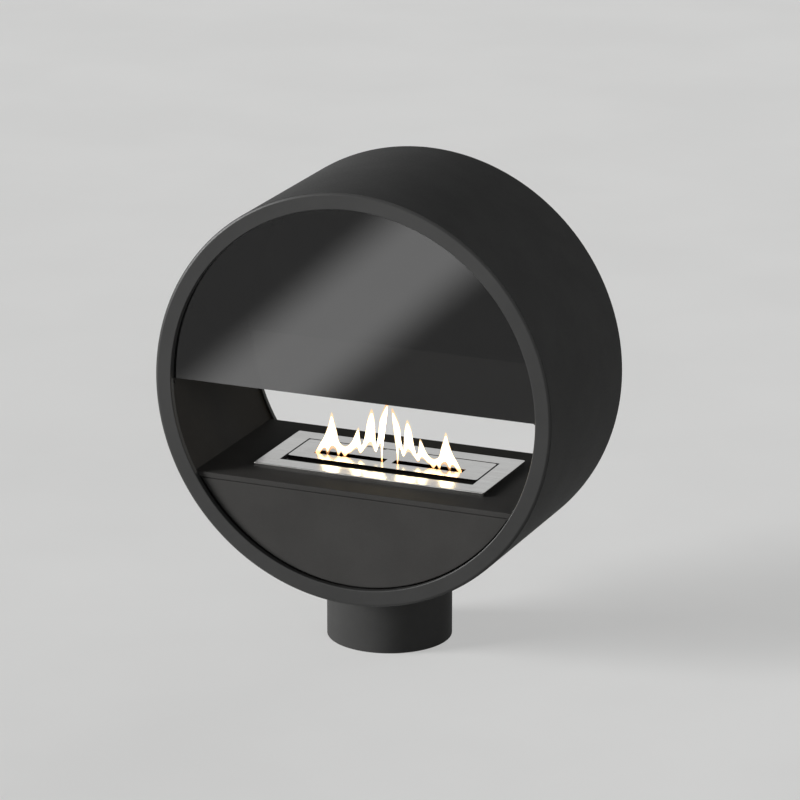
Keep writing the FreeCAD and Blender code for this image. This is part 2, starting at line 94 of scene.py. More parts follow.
class DrumSizes(bpy.types.PropertyGroup):
    """Sizes of the pieces that are drawn anew."""
    rim_width: FloatProperty(
        name="Rim width", description="Face of the flat ring round the opening",
        default=0.036, min=0.01, max=0.1, unit="LENGTH")
    rim_sheet: FloatProperty(
        name="Rim sheet", description="Thickness of the rim's sheet",
        default=0.003, min=0.001, max=0.006, unit="LENGTH")
    rim_bevel: FloatProperty(
        name="Rim bevel", description="Width of the sloping edge round the rim",
        default=0.005, min=0.001, max=0.01, unit="LENGTH")
    rim_round: FloatProperty(
        name="Rim edge radius", description="Rounding of the rim's inner edge",
        default=0.0026, min=0.0005, max=0.0029, unit="LENGTH")
    liner_sheet: FloatProperty(
        name="Liner sheet", description="Thickness of the inner wall",
        default=0.002, min=0.001, max=0.004, unit="LENGTH")
    shell_sheet: FloatProperty(
        name="Shell sheet", description="Thickness of the outer wall",
        default=0.003, min=0.001, max=0.006, unit="LENGTH")
    tube_wall: FloatProperty(
        name="Pedestal wall", description="Thickness of the pedestal's tube",
        default=0.004, min=0.002, max=0.01, unit="LENGTH")
    saddle_gap: FloatProperty(
        name="Saddle gap", description="Paint line between the drum and the pedestal's curved top",
        default=0.0005, min=0.0001, max=0.002, unit="LENGTH")
    panel_sheet: FloatProperty(
        name="Panel sheet", description="Thickness of the lower panels",
        default=0.002, min=0.001, max=0.004, unit="LENGTH")
    panel_bend: FloatProperty(
        name="Panel bend", description="Outer radius of the folded edge of the lower panels",
        default=0.003, min=0.0022, max=0.006, unit="LENGTH")
    tray_margin: FloatProperty(
        name="Tray margin", description="Width of the steel rim round the lid",
        default=0.0425, min=0.02, max=0.08, unit="LENGTH")
    tray_sheet: FloatProperty(
        name="Tray sheet", description="Thickness of the steel tray",
        default=0.002, min=0.001, max=0.003, unit="LENGTH")
    flame_height: FloatProperty(
        name="Flame height", description="Height of the tallest flame above the lid",
        default=0.136, min=0.02, max=0.18, unit="LENGTH")


class DrumColours(bpy.types.PropertyGroup):
    """Colours of the finishes."""
    graphite: FloatVectorProperty(
        name="Graphite paint", description="Satin paint of drum, rims and pedestal",
        size=3, subtype="COLOR", default=(0.055, 0.055, 0.054), min=0, max=1)
    hearth: FloatVectorProperty(
        name="Hearth paint", description="Matt heat-proof paint of liner, deck and lower panels",
        size=3, subtype="COLOR", default=(0.052, 0.0508, 0.049), min=0, max=1)
    glass: FloatVectorProperty(
        name="Smoked glass", description="Tint of the panes",
        size=3, subtype="COLOR", default=(0.009, 0.0087, 0.0083), min=0, max=1)
    steel: FloatVectorProperty(
        name="Stainless steel", description="Brushed steel of the burner",
        size=3, subtype="COLOR", default=(0.78, 0.77, 0.75), min=0, max=1)
    flame: FloatVectorProperty(
        name="Flame", description="Colour at the heart of the flames",
        size=3, subtype="COLOR", default=(1.0, 0.84, 0.52), min=0, max=1)
    floor: FloatVectorProperty(
        name="Floor", description="Pale studio floor",
        size=3, subtype="COLOR", default=(0.40, 0.40, 0.396), min=0, max=1)


def settings():
    """The scene's sizes and colours."""
    return bpy.context.scene.drum_sizes, bpy.context.scene.drum_colours


def rounded_outline(corners, radii, steps=6, hold=0.0003):
    """Closed outline of (a, b) points with its corners rounded.

    Each corner gives way to an arc that touches both of its sides: its centre lies on the corner's
    bisector at radius / sin(half the corner's angle). One more point lies on the side just before
    and just after each arc, so that the flats stay flat under smooth shading.
    """
    corners = np.array(corners, float)
    radii = np.array(radii, float)[:, None]
    before = np.roll(corners, 1, axis=0) - corners
    after = np.roll(corners, -1, axis=0) - corners
    before /= np.linalg.norm(before, axis=1, keepdims=True)
    after /= np.linalg.norm(after, axis=1, keepdims=True)
    half = np.arccos(np.clip((before * after).sum(1, keepdims=True), -1, 1)) / 2
    bisector = before + after
    bisector /= np.linalg.norm(bisector, axis=1, keepdims=True)
    centre = corners + bisector * radii / np.sin(half)
    reach = radii / np.tan(half)
    start = corners + before * reach - centre
    end = corners + after * reach - centre
    sweep = (math.pi - 2 * half)[:, None, :]
    share = np.linspace(0, 1, steps + 1)[None, :, None]
    arc = np.sin((1 - share) * sweep) * start[:, None] + np.sin(share * sweep) * end[:, None]
    arc = centre[:, None] + arc / np.sin(sweep)
    first = (corners + before * (reach + hold))[:, None]
    last = (corners + after * (reach + hold))[:, None]
    return np.concatenate([first, arc, last], axis=1).reshape(-1, 2)


def turned_ring(outline, steps=ROUND_STEPS):
    """Loops of points of a ring on the drum's axis.

    An outline point (radius r, depth y) goes round the axis as x = r sin t, z = axis + r cos t.
    """
    turn = np.linspace(0, 2 * math.pi, steps, endpoint=False)[None, :]
    radius = outline[:, 0][:, None]
    depth = np.broadcast_to(outline[:, 1][:, None], (len(outline), steps))
    return np.stack([radius * np.sin(turn), depth, AXIS_Z + radius * np.cos(turn)], axis=-1)


def loop_faces(rows, columns, close_rows=False):
    """Four-sided faces between neighbouring closed loops of a grid of points."""
    row = np.arange(rows if close_rows else rows - 1)[:, None]
    column = np.arange(columns)[None, :]
    ahead = (column + 1) % columns
    below = (row + 1) % rows
    corners = [row * columns + column, row * columns + ahead,
               below * columns + ahead, below * columns + column]
    return np.stack(np.broadcast_arrays(*corners), axis=-1).reshape(-1, 4)


def volume_of(points, quads, caps):
    """Signed volume inside a closed mesh: a sixth of the sum of a . (b x c) over its triangles."""
    triangles = [quads[:, [0, 1, 2]], quads[:, [0, 2, 3]]]
    for cap in caps:
        fan = np.stack([np.full(len(cap) - 2, cap[0]), cap[1:-1], cap[2:]], axis=1)
        triangles.append(fan)
    a, b, c = (points[np.concatenate(triangles)[:, k]] for k in range(3))
    return (a * np.cross(b, c)).sum() / 6


def add_piece(name, points, quads, finish, body, nodes=(), caps=(), sharp=38.0):
    """Puts a closed surface into the scene, faces outwards, and lets it ride on its body."""
    points = points.reshape(-1, 3)
    caps = [np.asarray(cap) for cap in caps]
    if volume_of(points, quads, caps) < 0:
        quads = quads[:, ::-1]
        caps = [cap[::-1] for cap in caps]
    mesh = bpy.data.meshes.new(name)
    mesh.from_pydata(points.tolist(), [], quads.tolist() + [cap.tolist() for cap in caps])
    mesh.polygons.foreach_set("use_smooth", np.ones(len(mesh.polygons), bool))
    mesh.set_sharp_from_angle(angle=math.radians(sharp))
    mesh.validate()
    mesh.materials.append(finish)
    piece = bpy.data.objects.new(name, mesh)
    bpy.context.scene.collection.objects.link(piece)
    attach(piece, body)
    if nodes:
        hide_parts(*nodes)
    return piece


def add_ring(name, outline, finish, nodes):
    """Turned ring on the drum's axis in place of CAD nodes."""
    points = turned_ring(outline)
    quads = loop_faces(len(outline), ROUND_STEPS, close_rows=True)
    return add_piece(name, points, quads, finish, "drum", nodes)


def new_finish(name):
    """New node material: the material, its tree and its main shader."""
    material = bpy.data.materials.new(name)
    material.use_nodes = True
    tree = material.node_tree
    return material, tree, tree.nodes["Principled BSDF"]


def add_node(tree, kind, links=None, values=None, **options):
    """One node with its options, its fixed inputs and the outputs that feed it."""
    node = tree.nodes.new(kind)
    for key, value in options.items():
        setattr(node, key, value)
    for key, value in (values or {}).items():
        node.inputs[key].default_value = value
    for key, source in (links or {}).items():
        tree.links.new(source, node.inputs[key])
    return node


def object_place(tree, scale=None):
    """Place on the piece in metres, stretched where a grain needs it."""
    place = add_node(tree, "ShaderNodeTexCoord").outputs["Object"]
    if scale is None:
        return place
    return add_node(tree, "ShaderNodeMapping", {"Vector": place}, {"Scale": scale}).outputs["Vector"]


def noise(tree, place, scale, detail=2.0, rough=0.5):
    """Cloudy pattern from 0 to 1."""
    values = {"Scale": scale, "Detail": detail, "Roughness": rough}
    return add_node(tree, "ShaderNodeTexNoise", {"Vector": place}, values).outputs["Fac"]


def between(tree, pattern, low, high):
    """Pattern spread over a range of numbers."""
    values = {"From Min": 0.3, "From Max": 0.7, "To Min": low, "To Max": high}
    return add_node(tree, "ShaderNodeMapRange", {"Value": pattern}, values).outputs["Result"]


def shades(tree, pattern, stops):
    """Pattern turned into colours through (place, colour) stops."""
    node = add_node(tree, "ShaderNodeValToRGB", {"Fac": pattern})
    ramp = node.color_ramp
    while len(ramp.elements) < len(stops):
        ramp.elements.new(0.5)
    ramp.interpolation = "EASE"
    for element, (place, colour) in zip(ramp.elements, stops):
        element.position = place
        element.color = (*colour, 1.0)
    return node.outputs["Color"]


def relief(tree, pattern, depth, strength=1.0, under=None):
    """Fine bumps of a depth in metres, on top of other bumps."""
    links = {"Height": pattern}
    if under is not None:
        links["Normal"] = under
    values = {"Strength": strength, "Distance": depth}
    return add_node(tree, "ShaderNodeBump", links, values).outputs["Normal"]


def tinted(colour, share):
    """A lighter or darker version of a colour."""
    return tuple(min(1.0, channel * share) for channel in colour)


def multiplied(tree, one, other):
    """Product of two colours."""
    mixed = add_node(tree, "ShaderNodeMix", data_type="RGBA", blend_type="MULTIPLY")
    mixed.inputs["Factor"].default_value = 1.0
    tree.links.new(one, mixed.inputs[MIX_A])
    tree.links.new(other, mixed.inputs[MIX_B])
    return mixed.outputs[MIX_COLOUR]


def paint_finish(name, colour, low, high, gloss):
    """Powder paint: faint clouds of tone, orange-peel skin and a roughness between two values."""
    material, tree, shader = new_finish(name)
    place = object_place(tree)
    cloud = noise(tree, place, scale=7.0, detail=4.0, rough=0.6)
    grain = noise(tree, place, scale=900.0, detail=1.0)
    skin = noise(tree, place, scale=260.0)
    tone = shades(tree, cloud, [(0.3, tinted(colour, 0.93)), (0.7, tinted(colour, 1.07))])
    speck = shades(tree, grain, [(0.35, (0.9, 0.9, 0.9)), (0.72, (1.0, 1.0, 1.0))])
    tree.links.new(multiplied(tree, tone, speck), shader.inputs["Base Color"])
    tree.links.new(between(tree, skin, low, high), shader.inputs["Roughness"])
    peel = relief(tree, skin, depth=0.00012, strength=0.35)
    fine = relief(tree, grain, depth=0.00004, strength=0.3, under=peel)
    tree.links.new(fine, shader.inputs["Normal"])
    shader.inputs["IOR"].default_value = 1.4
    shader.inputs["Specular IOR Level"].default_value = gloss
    return material


def glass_finish(name, colour):
    """Smoked float glass with faint wiping marks in its gloss."""
    material, tree, shader = new_finish(name)
    place = object_place(tree, (3.0, 3.0, 9.0))
    film = noise(tree, place, scale=2.0, detail=5.0, rough=0.7)
    tree.links.new(between(tree, film, low=0.0, high=0.02), shader.inputs["Roughness"])
    tint = shades(tree, film, [(0.3, tinted(colour, 0.96)), (0.7, tinted(colour, 1.04))])
    tree.links.new(tint, shader.inputs["Base Color"])
    shader.inputs["Transmission Weight"].default_value = 1.0
    shader.inputs["IOR"].default_value = 1.5
    return material


def painted_shade_share(tree, top, half_x, half_y):
    """Share of painted shade: 1 below a height inside a rectangle about the burner's middle, else 0."""
    split = add_node(tree, "ShaderNodeSeparateXYZ", {"Vector": object_place(tree)}).outputs
    share = None
    for axis, limit in (("X", half_x), ("Y", half_y), ("Z", top)):
        way = split[axis]
        if axis != "Z":
            far = add_node(tree, "ShaderNodeMath", operation="ABSOLUTE")
            tree.links.new(way, far.inputs[0])
            way = far.outputs[0]
        inside = add_node(tree, "ShaderNodeMath", operation="LESS_THAN")
        tree.links.new(way, inside.inputs[0])
        inside.inputs[1].default_value = limit
        if share is not None:
            both = add_node(tree, "ShaderNodeMath", operation="MULTIPLY")
            tree.links.new(share, both.inputs[0])
            tree.links.new(inside.outputs[0], both.inputs[1])
            inside = both
        share = inside.outputs[0]
    return share


def steel_finish(name, colour, painted_shade=None, stretch=(6.0, 700.0, 700.0)):
    """Brushed stainless steel: fine lines in tone, gloss and relief, and painted shade in its grooves.

    The painted shade is the top, half length and half width of the space that it darkens.
    """
    material, tree, shader = new_finish(name)
    lines = noise(tree, object_place(tree, stretch), scale=1.0, detail=4.0, rough=0.65)
    cloud = noise(tree, object_place(tree), scale=14.0, detail=3.0)
    tone = shades(tree, lines, [(0.3, tinted(colour, 0.86)), (0.7, tinted(colour, 1.08))])
    smear = shades(tree, cloud, [(0.3, (0.93, 0.925, 0.92)), (0.7, (1.0, 1.0, 1.0))])
    shade = multiplied(tree, tone, smear)
    # painted shade: below the given height inside the recess the steel turns dark, standing in for the shadow
    # there
    if painted_shade:
        shaded = add_node(tree, "ShaderNodeMix", data_type="RGBA")
        tree.links.new(painted_shade_share(tree, *painted_shade), shaded.inputs["Factor"])
        tree.links.new(shade, shaded.inputs[MIX_A])
        shaded.inputs[MIX_B].default_value = (*SOOT_AND_SHADE, 1.0)
        shade = shaded.outputs[MIX_COLOUR]
    tree.links.new(shade, shader.inputs["Base Color"])
    tree.links.new(between(tree, lines, low=0.14, high=0.22), shader.inputs["Roughness"])
    tree.links.new(relief(tree, lines, depth=0.00022, strength=0.6), shader.inputs["Normal"])
    shader.inputs["Metallic"].default_value = 1.0
    return material


def zinc_finish(name, colour, spangle):
    """Plated steel: flat crystals of slightly different tone and gloss."""
    material, tree, shader = new_finish(name)
    place = object_place(tree)
    cells = add_node(tree, "ShaderNodeTexVoronoi", {"Vector": place}, {"Scale": spangle}).outputs["Color"]
    tree.links.new(shades(tree, cells, [(0.1, tinted(colour, 0.8)), (0.9, tinted(colour, 1.1))]),
                   shader.inputs["Base Color"])
    tree.links.new(between(tree, cells, low=0.3, high=0.5), shader.inputs["Roughness"])
    grain = noise(tree, place, scale=500.0)
    tree.links.new(relief(tree, grain, depth=0.00003, strength=0.4), shader.inputs["Normal"])
    shader.inputs["Metallic"].default_value = 1.0
    return material


def woven_finish(name, colour, pitch):
    """Braided sealing tape or moulded rubber: close ribs with dust between them."""
    material, tree, shader = new_finish(name)
    place = object_place(tree)
    ribs = add_node(tree, "ShaderNodeTexWave", {"Vector": place},
                    {"Scale": 1.0 / pitch, "Distortion": 1.5, "Detail": 2.0}).outputs["Fac"]
    tree.links.new(shades(tree, ribs, [(0.2, tinted(colour, 0.7)), (0.8, tinted(colour, 1.3))]),
                   shader.inputs["Base Color"])
    dust = noise(tree, place, scale=300.0)
    tree.links.new(between(tree, dust, low=0.7, high=0.9), shader.inputs["Roughness"])
    tree.links.new(relief(tree, ribs, depth=0.0003, strength=0.6), shader.inputs["Normal"])
    return material


def fibre_finish(name, colour):
    """Ceramic wool: tangled fibres in tone and relief."""
    material, tree, shader = new_finish(name)
    strands = noise(tree, object_place(tree, (1.0, 1.0, 2.5)), scale=260.0, detail=6.0, rough=0.75)
    tree.links.new(shades(tree, strands, [(0.3, tinted(colour, 0.72)), (0.7, colour)]),
                   shader.inputs["Base Color"])
    tree.links.new(relief(tree, strands, depth=0.0012, strength=0.8), shader.inputs["Normal"])
    shader.inputs["Roughness"].default_value = 0.95
    return material


def flame_finish(name, stops, strength, alpha):
    """Glowing gas: its colour goes with the height along each tongue, kept in the UV map."""
    material, tree, shader = new_finish(name)
    height = add_node(tree, "ShaderNodeSeparateXYZ",
                      {"Vector": add_node(tree, "ShaderNodeTexCoord").outputs["UV"]}).outputs["Y"]
    tree.links.new(shades(tree, height, stops), shader.inputs["Emission Color"])
    shader.inputs["Emission Strength"].default_value = strength
    shader.inputs["Base Color"].default_value = (0.0, 0.0, 0.0, 1.0)
    shader.inputs["Specular IOR Level"].default_value = 0.0
    shader.inputs["Roughness"].default_value = 1.0
    shader.inputs["Alpha"].default_value = alpha
    return material


def finish_called(name):
    """A finish that was made before."""
    found = bpy.data.materials.get(name)
    if found is None:
        raise RuntimeError("finish " + name + " isn't made yet")
    return found


def dress(finish, *nodes):
    """Gives CAD nodes a finish."""
    for node in nodes:
        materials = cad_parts[node].data.materials
        materials.clear()
        materials.append(finish)


def closed_segment(inset, radius, top, steps=120):
    """Loop round a circle's lower segment, drawn smaller by an inset on all sides.

    The arc is x = r sin t, z = axis - r cos t between its two ends on the straight top edge.
    """
    r = radius - inset
    drop = AXIS_Z - (top - inset)
    end = math.acos(drop / r)
    turn = np.linspace(-end, end, steps)
    corner = r * math.sin(end)
    edge = np.linspace(corner, -corner, steps // 2 + 2)[1:-1]
    x = np.concatenate([r * np.sin(turn), edge])
    z = np.concatenate([AXIS_Z - r * np.cos(turn), np.full(len(edge), AXIS_Z - drop)])
    return np.stack([x, z], axis=-1)


def folded_panel(sizes, front):
    """Loops of a lower panel: a flat face, a rounded fold all round and a flange behind it.

    Each loop is the panel's outline at an inset and a depth; the fold's insets and depths are
    bend (1 - sin t) and bend (1 - cos t) for t from 0 to a quarter turn. One more loop just inside
    the fold keeps the face flat under smooth shading.
    """
    depth = PANEL_HIGH[1] - PANEL_LOW[1]
    bend, sheet, hold = sizes.panel_bend, sizes.panel_sheet, 0.0006
    turn = np.linspace(0, math.pi / 2, FOLD_STEPS)
    inner = bend - sheet
    insets = np.concatenate([[bend + hold], bend * (1 - np.sin(turn)), [0, sheet],
                             sheet + inner * (1 - np.sin(turn[::-1])), [bend + hold]])
    depths = np.concatenate([[0], bend * (1 - np.cos(turn)), [depth, depth],
                             sheet + inner * (1 - np.cos(turn[::-1])), [sheet]])
    radius = AXIS_Z - PANEL_LOW[2]
    loops = [closed_segment(inset, radius, PANEL_HIGH[2]) for inset in insets]
    sign = 1 if front else -1
    points = [np.insert(loop, 1, sign * (PANEL_LOW[1] + y), axis=1) for loop, y in zip(loops, depths)]
    return np.array(points)


def rectangle_loops(half_x, half_y, corners, heights, steps=8):
    """Loops round rectangles with rounded corners, one for each height.

    Each corner is its centre plus radius (cos t, sin t) over its quarter turn.
    """
    turn = np.linspace(0, math.pi / 2, steps)
    angle = (np.arange(4)[:, None] * math.pi / 2 + turn).ravel()[None, :]
    side_x = np.repeat([1, -1, -1, 1], steps)[None, :]
    side_y = np.repeat([1, 1, -1, -1], steps)[None, :]
    corner = corners[:, None]
    x = side_x * (half_x[:, None] - corner) + corner * np.cos(angle)
    y = side_y * (half_y[:, None] - corner) + corner * np.sin(angle)
    z = np.broadcast_to(heights[:, None], x.shape)
    return np.stack([x, y, z], axis=-1)


# Outline of the left-hand flames from left to right, in millimetres: the low edge's x and height
# above the lid, then the high edge's x and height
FLAME_EDGES = np.array([
    (-172, -5, -172, 1), (-165, -5, -162, 16), (-155, 6, -152, 30), (-148, 4, -145, 45), (-145, -5, -140, 59),
    (-138, 6, -135, 75), (-131, 9, -130, 60), (-124, 5, -125, 44), (-120, -5, -121, 29), (-113, 5, -115, 20),
    (-105, -4, -105, 17), (-97, 3, -95, 20), (-90, 6, -86, 29), (-85, 10, -80, 40), (-78, 14, -72, 54),
    (-73, 13, -70, 41), (-71, 8, -68, 29), (-67, 7, -64, 22), (-60, 14, -58, 38), (-54, 20, -54, 57),
    (-49, 24, -50, 75), (-43, 24, -42, 90), (-40, 22, -37, 79), (-37, 18, -35, 63), (-35, 15, -34, 45),
    (-34, 14, -33, 31), (-31, 13, -31, 24), (-28, 18, -28, 34), (-25, 24, -24, 53), (-22, 27, -21, 76),
    (-21, 23, -13, 94), (-20, 19, -3, 110), (-19, 12, -5, 92), (-18, 8, -11, 71), (-18, 3, -15, 49),
    (-18, -1, -16, 30), (-17, -4, -16, 14), (-17, -6, -16, 0),
], float)
FLAME_STEPS = 6                         # stations between two rows of the table
FLAME_ROUND = 20                        # points round a station
FLAME_MIRROR = np.array([-0.95, 0.88, -0.95, 0.88])
FLAME_SHIFT = np.array([2, 0, 2, 0])
FLAME_SHARE = 0.3                       # half thickness of a sheet as a share of its half height
FLAME_THIN, FLAME_THICK = 0.3, 6.0      # its limits, in millimetres
FLAME_WAVE, FLAME_TURN = 1.5, 0.09      # wave of a sheet in millimetres, and its turn for each of x


def along_rows(rows, steps):
    """Smooth run through rows of numbers: between rows b and c, with a before and d after them,
    ((2b) + (c - a) t + (2a - 5b + 4c - d) t^2 + (3b - a - 3c + d) t^3) / 2 for t from 0 to 1.
    """
    last = len(rows) - 1
    a, b, c, d = (rows[np.clip(np.arange(last) + k, 0, last)][:, None] for k in (-1, 0, 1, 2))
    t = np.linspace(0, 1, steps, endpoint=False)[None, :, None]
    run = (2 * b + (c - a) * t + (2 * a - 5 * b + 4 * c - d) * t ** 2 + (3 * b - a - 3 * c + d) * t ** 3) / 2
    return np.concatenate([run.reshape(-1, rows.shape[1]), rows[-1:]])


def flame_points(sizes, width, inset):
    """Loops of the two flame sheets, one loop for each station along a sheet, and each point's height.

    A station is the line from the low edge to the high edge, shortened at both ends by the inset.
    Its loop is an ellipse in that line and the depth: middle + half line cos t + thickness sin t.
    The sheet waves to and fro by wave sin(turn x). The right-hand sheet mirrors the left one, a little
    smaller.
    """
    run = along_rows(FLAME_EDGES, FLAME_STEPS)
    sheets = np.stack([run, run * FLAME_MIRROR + FLAME_SHIFT])
    low, high = sheets[..., :2], sheets[..., 2:]
    middle, half = (low + high) / 2, (high - low) / 2 * (1 - 2 * inset)
    long = np.linalg.norm(half, axis=-1, keepdims=True)
    turn = np.linspace(0, 2 * math.pi, FLAME_ROUND, endpoint=False)
    line = middle[:, :, None] + half[:, :, None] * np.cos(turn)[:, None]
    thick = width * np.clip(FLAME_SHARE * long, FLAME_THIN, FLAME_THICK)
    wave = FLAME_WAVE * np.sin(FLAME_TURN * middle[..., :1])
    depth = wave + thick * np.sin(turn)
    height = line[..., 1] / FLAME_EDGES[:, 3].max()
    z = LID_HIGH[2] + height * sizes.flame_height
    return np.stack([line[..., 0] * MM, depth * MM, z], axis=-1), height.reshape(-1)


def add_flames(name, sizes, width, inset, finish):
    """One layer of both flame sheets, which ride on the burner."""
    points, height = flame_points(sizes, width, inset)
    sheets, rows, columns = points.shape[:3]
    first = (np.arange(sheets) * rows * columns)[:, None, None]
    quads = (first + loop_faces(rows, columns)[None]).reshape(-1, 4)
    loop = np.arange(columns)
    starts = first[:, 0] + loop[::-1]
    ends = first[:, 0] + (rows - 1) * columns + loop
    turned = np.concatenate([quads[:len(quads) // 2], quads[len(quads) // 2:, ::-1]])
    caps = [starts[0], ends[0], starts[1][::-1], ends[1][::-1]]
    piece = add_piece(name, points, turned, finish, "burner", caps=caps)
    layer = piece.data.uv_layers.new(name="along_flame")
    corner = np.zeros(len(piece.data.loops), np.int32)
    piece.data.loops.foreach_get("vertex_index", corner)
    layer.data.foreach_set("uv", np.stack([np.zeros(len(corner)), height[corner]], axis=-1).ravel())
    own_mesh(piece)
    return piece


class DRUM_OT_finishes(bpy.types.Operator):
    """Make the finishes of all pieces."""
    bl_idname = "drum_fire.finishes"
    bl_label = "Finishes"

    def execute(self, context):
        sizes, colours = settings()
        paint_finish("drum_paint", colours.graphite, low=0.50, high=0.60, gloss=0.03)
        paint_finish("rim_paint", tinted(colours.graphite, 0.72), low=0.34, high=0.42, gloss=0.28)
        paint_finish("hearth_coat", colours.hearth, low=0.56, high=0.68, gloss=0.03)
        glass_finish("pane_glass", colours.glass)
        # The tray's recess walls and the lid's sides below its top get painted shade.
        recess = TRAY_HIGH[:2] - sizes.tray_margin + SHADE_REACH
        under_tray, under_lid = TRAY_HIGH[2] - 0.0002, LID_HIGH[2] - 0.0001
        steel_finish("tray_steel", colours.steel, painted_shade=(under_tray, *recess))
        steel_finish("lid_steel", colours.steel, painted_shade=(under_lid, *recess))
        steel_finish("tank_steel", colours.steel)
        steel_finish("fired_steel", SOOT_AND_SHADE)
        zinc_finish("zinc_plate", (0.45, 0.45, 0.44), spangle=180.0)
        zinc_finish("nickel_plate", (0.58, 0.55, 0.50), spangle=900.0)
        woven_finish("sealing_tape", (0.012, 0.012, 0.012), pitch=0.0022)
        fibre_finish("ceramic_wool", (0.62, 0.58, 0.52))
        return {"FINISHED"}


class DRUM_OT_drum(bpy.types.Operator):
    """Turn the drum's outer shell and inner liner from their wall sections."""
    bl_idname = "drum_fire.drum"
    bl_label = "Drum Walls"

    def execute(self, context):
        sizes, _ = settings()
        walls = [("drum_shell", DRUM_R, sizes.shell_sheet, "drum_paint", "outer_shell", "graphite_paint"),
                 ("drum_liner", LINER_HIGH[0], sizes.liner_sheet, "hearth_coat", "inner_liner",
                  "hearth_paint")]
        for name, outer, sheet, finish, node, slot in walls:
            inner = outer - sheet
            (_, front, _), (_, back, _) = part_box(node)
            corners = [(outer, front), (outer, back), (inner, back), (inner, front)]
            outline = rounded_outline(corners, [SHEET_EDGE] * len(corners))
            add_ring(name, outline, finish_called(finish), [node])
        return {"FINISHED"}


class DRUM_OT_rims(bpy.types.Operator):
    """Turn the two rims: a flat ring with a sloping outer edge and a short return into the opening."""
    bl_idname = "drum_fire.rims"
    bl_label = "Rims"

    def execute(self, context):
        sizes, _ = settings()
        inner, sheet, edge = DRUM_R - sizes.rim_width, sizes.rim_sheet, sizes.rim_round
        front, back = RIM_LOW[1], RIM_HIGH[1]
        corners = [(inner, front), (DRUM_R - sizes.rim_bevel, front), (DRUM_R, front + sheet),
                   (inner + sheet, front + sheet), (inner + sheet, back), (inner, back)]
        radii = [edge, 0.006, SHEET_EDGE, 0.001, 0.0006, 0.0006]
        outline = rounded_outline(corners, radii)
        paint = finish_called("rim_paint")
        add_ring("front_rim_ring", outline, paint, ["front_rim"])
        add_ring("rear_rim_ring", outline * [1, -1], paint, ["rear_rim"])
        return {"FINISHED"}


class DRUM_OT_pedestal(bpy.types.Operator):
    """Draw the round pedestal, whose top edge follows the drum.

    Round the tube, its top is z = axis - sqrt(saddle radius^2 - x^2). The section's heights from 0
    to a half belong to the foot, and those up to 1 to the top.
    """
    bl_idname = "drum_fire.pedestal"
    bl_label = "Pedestal"

    def execute(self, context):
        sizes, _ = settings()
        outer, wall, foot = TUBE_HIGH[0], sizes.tube_wall, TUBE_LOW[2]
        saddle = DRUM_R + sizes.saddle_gap
        corners = [(outer - wall, 0), (outer, 0), (outer, 1), (outer - wall, 1)]
        radii = [0.0008, 0.0012, 0.0006, 0.0006]
        section = rounded_outline(corners, radii)
        turn = np.linspace(0, 2 * math.pi, TUBE_STEPS, endpoint=False)[None, :]
        x = section[:, :1] * np.cos(turn)
        y = section[:, :1] * np.sin(turn)
        top = AXIS_Z - np.sqrt(saddle ** 2 - x ** 2)
        z = np.where(section[:, 1:] < 0.5, foot + section[:, 1:], top - 1 + section[:, 1:])
        points = np.stack([x, y, z], axis=-1)
        quads = loop_faces(len(section), TUBE_STEPS, close_rows=True)
        add_piece("pedestal", points, quads, finish_called("drum_paint"), "drum",
                  ["pedestal_tube"])
        return {"FINISHED"}


class DRUM_OT_panels(bpy.types.Operator):
    """Fold the lower front and rear panels."""
    bl_idname = "drum_fire.panels"
    bl_label = "Lower Panels"

    def execute(self, context):
        sizes, _ = settings()
        panels = [("front_cover_panel", True, "front_cover", "lower_front_panel"),
                  ("rear_cover_panel", False, "drum", "lower_rear_panel")]
        for name, front, body, node in panels:
            points = folded_panel(sizes, front)
            rows, columns = points.shape[:2]
            loop = np.arange(columns)
            caps = [loop[::-1], (rows - 1) * columns + loop]
            add_piece(name, points, loop_faces(rows, columns), finish_called("hearth_coat"), body,
                      [node], caps)
        return {"FINISHED"}


class DRUM_OT_tray(bpy.types.Operator):
    """Press the burner's steel tray: turned-down edges, flat margin and a walled recess."""
    bl_idname = "drum_fire.tray"
    bl_label = "Burner Tray"

    def execute(self, context):
        sizes, _ = settings()
        margin, sheet = sizes.tray_margin, sizes.tray_sheet
        foot, top, floor = TRAY_LOW[2], TRAY_HIGH[2], LID_LOW[2]
        corners = [(0, foot), (0, top), (margin, top), (margin, floor), (margin - sheet, floor),
                   (margin - sheet, top - sheet), (sheet, top - sheet), (sheet, foot)]
        radii = [0.0003, 0.0014, 0.0009, 0.0003, 0.0003, 0.0004, 0.0004, 0.0003]
        outline = rounded_outline(corners, radii, steps=5)
        inset, widest, narrowest = outline[:, 0], 0.004, 0.0008
        corner = np.clip(widest - inset, narrowest, widest)
        points = rectangle_loops(TRAY_HIGH[0] - inset, TRAY_HIGH[1] - inset, corner, outline[:, 1])
        quads = loop_faces(points.shape[0], points.shape[1], close_rows=True)
        add_piece("steel_tray", points, quads, finish_called("tray_steel"), "burner",
                  ["burner_tray"])
        return {"FINISHED"}


class DRUM_OT_flames(bpy.types.Operator):
    """Raise the flames over the two slots, as a bright heart inside a thin amber skin."""
    bl_idname = "drum_fire.flames"
    bl_label = "Flames"

    def execute(self, context):
        sizes, colours = settings()
        heart = [(0.0, (0.62, 0.26, 0.10)), (0.06, (1.0, 0.60, 0.24)), (0.16, tuple(colours.flame)),
                 (0.75, tuple(colours.flame)), (1.0, (1.0, 0.62, 0.22))]
        skin = [(0.0, (0.45, 0.22, 0.10)), (0.06, (0.85, 0.45, 0.22)), (0.16, (1.0, 0.74, 0.46)),
                (0.7, (1.0, 0.70, 0.40)), (1.0, (1.0, 0.46, 0.16))]
        bright = flame_finish("flame_heart", heart, strength=10.0, alpha=1.0)
        amber = flame_finish("flame_skin", skin, strength=1.3, alpha=0.55)
        add_flames("flame_hearts", sizes, width=0.6, inset=0.11, finish=bright)
        add_flames("flame_skins", sizes, width=1.0, inset=0.0, finish=amber)
        return {"FINISHED"}


